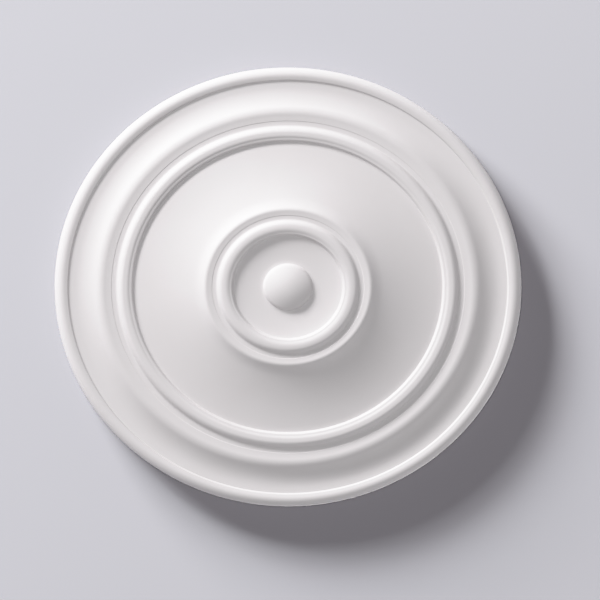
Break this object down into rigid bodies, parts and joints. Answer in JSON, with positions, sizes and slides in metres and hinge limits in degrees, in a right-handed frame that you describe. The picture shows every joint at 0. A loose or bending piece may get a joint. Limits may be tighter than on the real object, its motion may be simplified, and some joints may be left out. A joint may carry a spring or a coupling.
{
  "type": "ceiling rose",
  "caption": "Plain round ceiling rose: a rim bead, a cove, bead rings, a flared plate and a domed button, with a flat back that goes against the ceiling.",
  "frame": {"origin": "centre of the flat back, where it meets the ceiling", "axes": "+Z along the rose's axis, out of the back and up into the ceiling; the moulded face looks down, towards -Z; +X and +Y lie in the ceiling"},
  "size_m": [0.48, 0.48, 0.0586],
  "materials": {
    "primed_white": "smooth satin white primer"
  },
  "bodies": {
    "root": {"ceiling_rose": "primed_white"}
  },
  "joints": []
}
